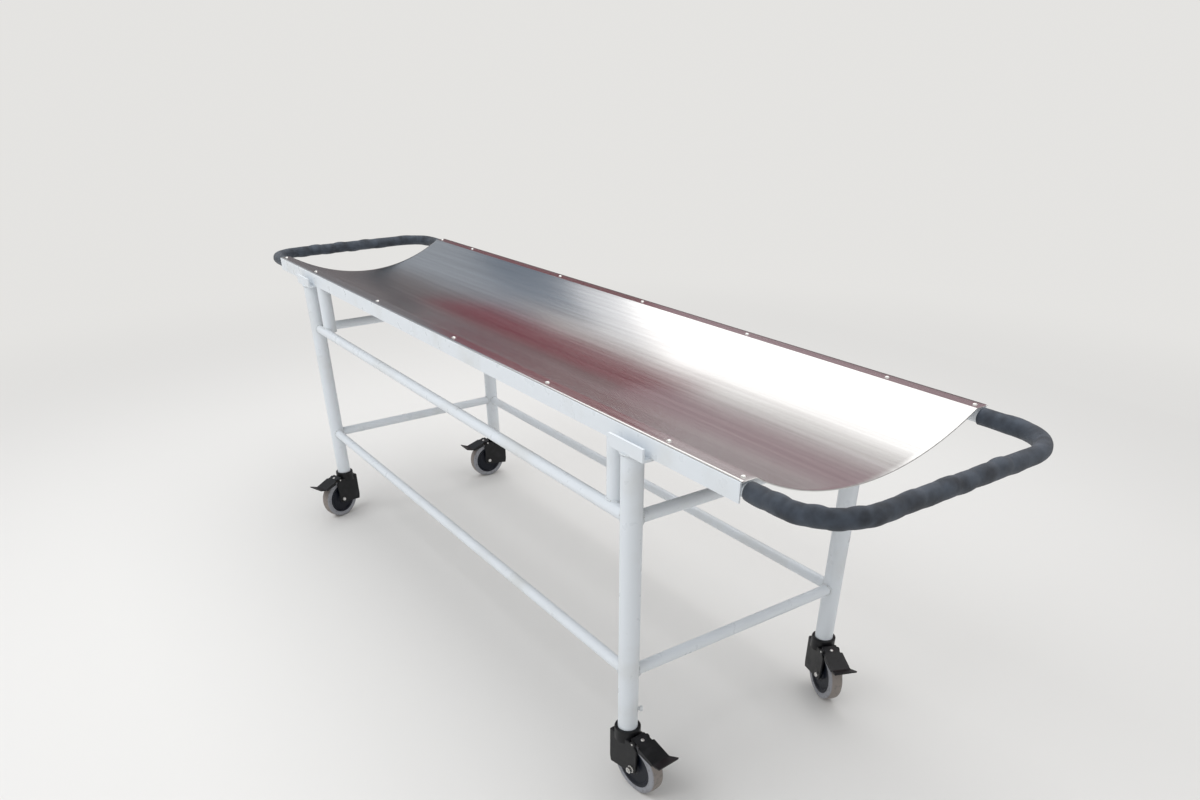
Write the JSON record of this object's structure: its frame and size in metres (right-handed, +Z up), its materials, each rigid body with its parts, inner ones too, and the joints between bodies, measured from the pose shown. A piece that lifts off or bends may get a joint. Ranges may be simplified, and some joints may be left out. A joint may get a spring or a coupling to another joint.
{
  "type": "stretcher trolley",
  "caption": "Lift-off stretcher with a rolled stainless trough and foam-covered end handles, on a tubular stand with braked swivel casters.",
  "frame": {"origin": "on the floor, below the middle of the four legs", "axes": "+X along the trolley to the front handle, +Y across to the far side, +Z up"},
  "size_m": [2.5598, 0.7488, 0.7941],
  "materials": {
    "white_paint": "gloss",
    "stainless_sheet": "brushed",
    "zinc_steel": "bright zinc",
    "foam": "matte foam",
    "moulded_black": "satin",
    "wheel_core": "satin",
    "grey_tyre": "matte"
  },
  "bodies": {
    "stand": {"leg_near_right": "white_paint", "leg_near_left": "white_paint", "leg_far_right": "white_paint", "leg_far_left": "white_paint", "lower_side_rail_near": "white_paint", "lower_side_rail_far": "white_paint", "lower_end_rail_front": "white_paint", "lower_end_rail_rear": "white_paint", "upper_side_rail_near": "white_paint", "upper_side_rail_far": "white_paint", "upper_end_rail_front": "white_paint", "upper_end_rail_rear": "white_paint", "post_near_right": "white_paint", "post_near_left": "white_paint", "post_far_right": "white_paint", "post_far_left": "white_paint", "cradle_bracket_near_right": "white_paint", "cradle_bracket_near_left": "white_paint", "cradle_bracket_far_right": "white_paint", "cradle_bracket_far_left": "white_paint", "stem_near_right": "zinc_steel", "stem_near_left": "zinc_steel", "stem_far_right": "zinc_steel", "stem_far_left": "zinc_steel", "leg_bolts": "white_paint"},
    "stretcher": {"stretcher_rail_near": "white_paint", "stretcher_rail_far": "white_paint", "handle_front": "white_paint", "handle_rear": "white_paint", "grip_front": "foam", "grip_rear": "foam", "tray": "stainless_sheet", "rivets": "zinc_steel"},
    "swivel_near_right": {"caster_housing_near_right": "moulded_black", "axle_near_right": "zinc_steel", "pedal_pin_near_right": "zinc_steel"},
    "wheel_near_right": {"wheel_core_near_right": "wheel_core", "tyre_near_right": "grey_tyre"},
    "pedal_near_right": {"brake_pedal_near_right": "moulded_black"},
    "swivel_near_left": {"caster_housing_near_left": "moulded_black", "axle_near_left": "zinc_steel", "pedal_pin_near_left": "zinc_steel"},
    "wheel_near_left": {"wheel_core_near_left": "wheel_core", "tyre_near_left": "grey_tyre"},
    "pedal_near_left": {"brake_pedal_near_left": "moulded_black"},
    "swivel_far_right": {"caster_housing_far_right": "moulded_black", "axle_far_right": "zinc_steel", "pedal_pin_far_right": "zinc_steel"},
    "wheel_far_right": {"wheel_core_far_right": "wheel_core", "tyre_far_right": "grey_tyre"},
    "pedal_far_right": {"brake_pedal_far_right": "moulded_black"},
    "swivel_far_left": {"caster_housing_far_left": "moulded_black", "axle_far_left": "zinc_steel", "pedal_pin_far_left": "zinc_steel"},
    "wheel_far_left": {"wheel_core_far_left": "wheel_core", "tyre_far_left": "grey_tyre"},
    "pedal_far_left": {"brake_pedal_far_left": "moulded_black"}
  },
  "joints": [
    {"name": "stretcher_lift", "type": "slide", "parent": "stand", "child": "stretcher", "axis": [0, 0, 1], "range_m": [0, 0.4]},
    {"name": "swivel_near_right", "type": "hinge", "parent": "stand", "child": "swivel_near_right", "pos_m": [0.828, -0.2935, 0.13], "axis": [0, 0, 1], "continuous": true},
    {"name": "wheel_spin_near_right", "type": "hinge", "parent": "swivel_near_right", "child": "wheel_near_right", "pos_m": [0.86586, -0.29019, 0.0625], "axis": [-0.0872, 0.9962, 0], "continuous": true},
    {"name": "brake_near_right", "type": "hinge", "parent": "swivel_near_right", "child": "pedal_near_right", "pos_m": [0.86785, -0.29001, 0.131], "axis": [-0.0872, 0.9962, 0], "range_deg": [0, 5]},
    {"name": "swivel_near_left", "type": "hinge", "parent": "stand", "child": "swivel_near_left", "pos_m": [-0.828, -0.2935, 0.13], "axis": [0, 0, 1], "continuous": true},
    {"name": "wheel_spin_near_left", "type": "hinge", "parent": "swivel_near_left", "child": "wheel_near_left", "pos_m": [-0.815, -0.32921, 0.0625], "axis": [0.9397, 0.342, 0], "continuous": true},
    {"name": "brake_near_left", "type": "hinge", "parent": "swivel_near_left", "child": "pedal_near_left", "pos_m": [-0.81432, -0.33109, 0.131], "axis": [0.9397, 0.342, 0], "range_deg": [0, 5]},
    {"name": "swivel_far_right", "type": "hinge", "parent": "stand", "child": "swivel_far_right", "pos_m": [0.828, 0.2935, 0.13], "axis": [0, 0, 1], "continuous": true},
    {"name": "wheel_spin_far_right", "type": "hinge", "parent": "swivel_far_right", "child": "wheel_far_right", "pos_m": [0.86323, 0.27926, 0.0625], "axis": [0.3746, 0.9272, 0], "continuous": true},
    {"name": "brake_far_right", "type": "hinge", "parent": "swivel_far_right", "child": "pedal_far_right", "pos_m": [0.86509, 0.27852, 0.131], "axis": [0.3746, 0.9272, 0], "range_deg": [0, 5]},
    {"name": "swivel_far_left", "type": "hinge", "parent": "stand", "child": "swivel_far_left", "pos_m": [-0.828, 0.2935, 0.13], "axis": [0, 0, 1], "continuous": true},
    {"name": "wheel_spin_far_left", "type": "hinge", "parent": "swivel_far_left", "child": "wheel_far_left", "pos_m": [-0.82933, 0.25552, 0.0625], "axis": [0.9994, -0.0349, 0], "continuous": true},
    {"name": "brake_far_left", "type": "hinge", "parent": "swivel_far_left", "child": "pedal_far_left", "pos_m": [-0.8294, 0.25352, 0.131], "axis": [0.9994, -0.0349, 0], "range_deg": [0, 5]}
  ]
}
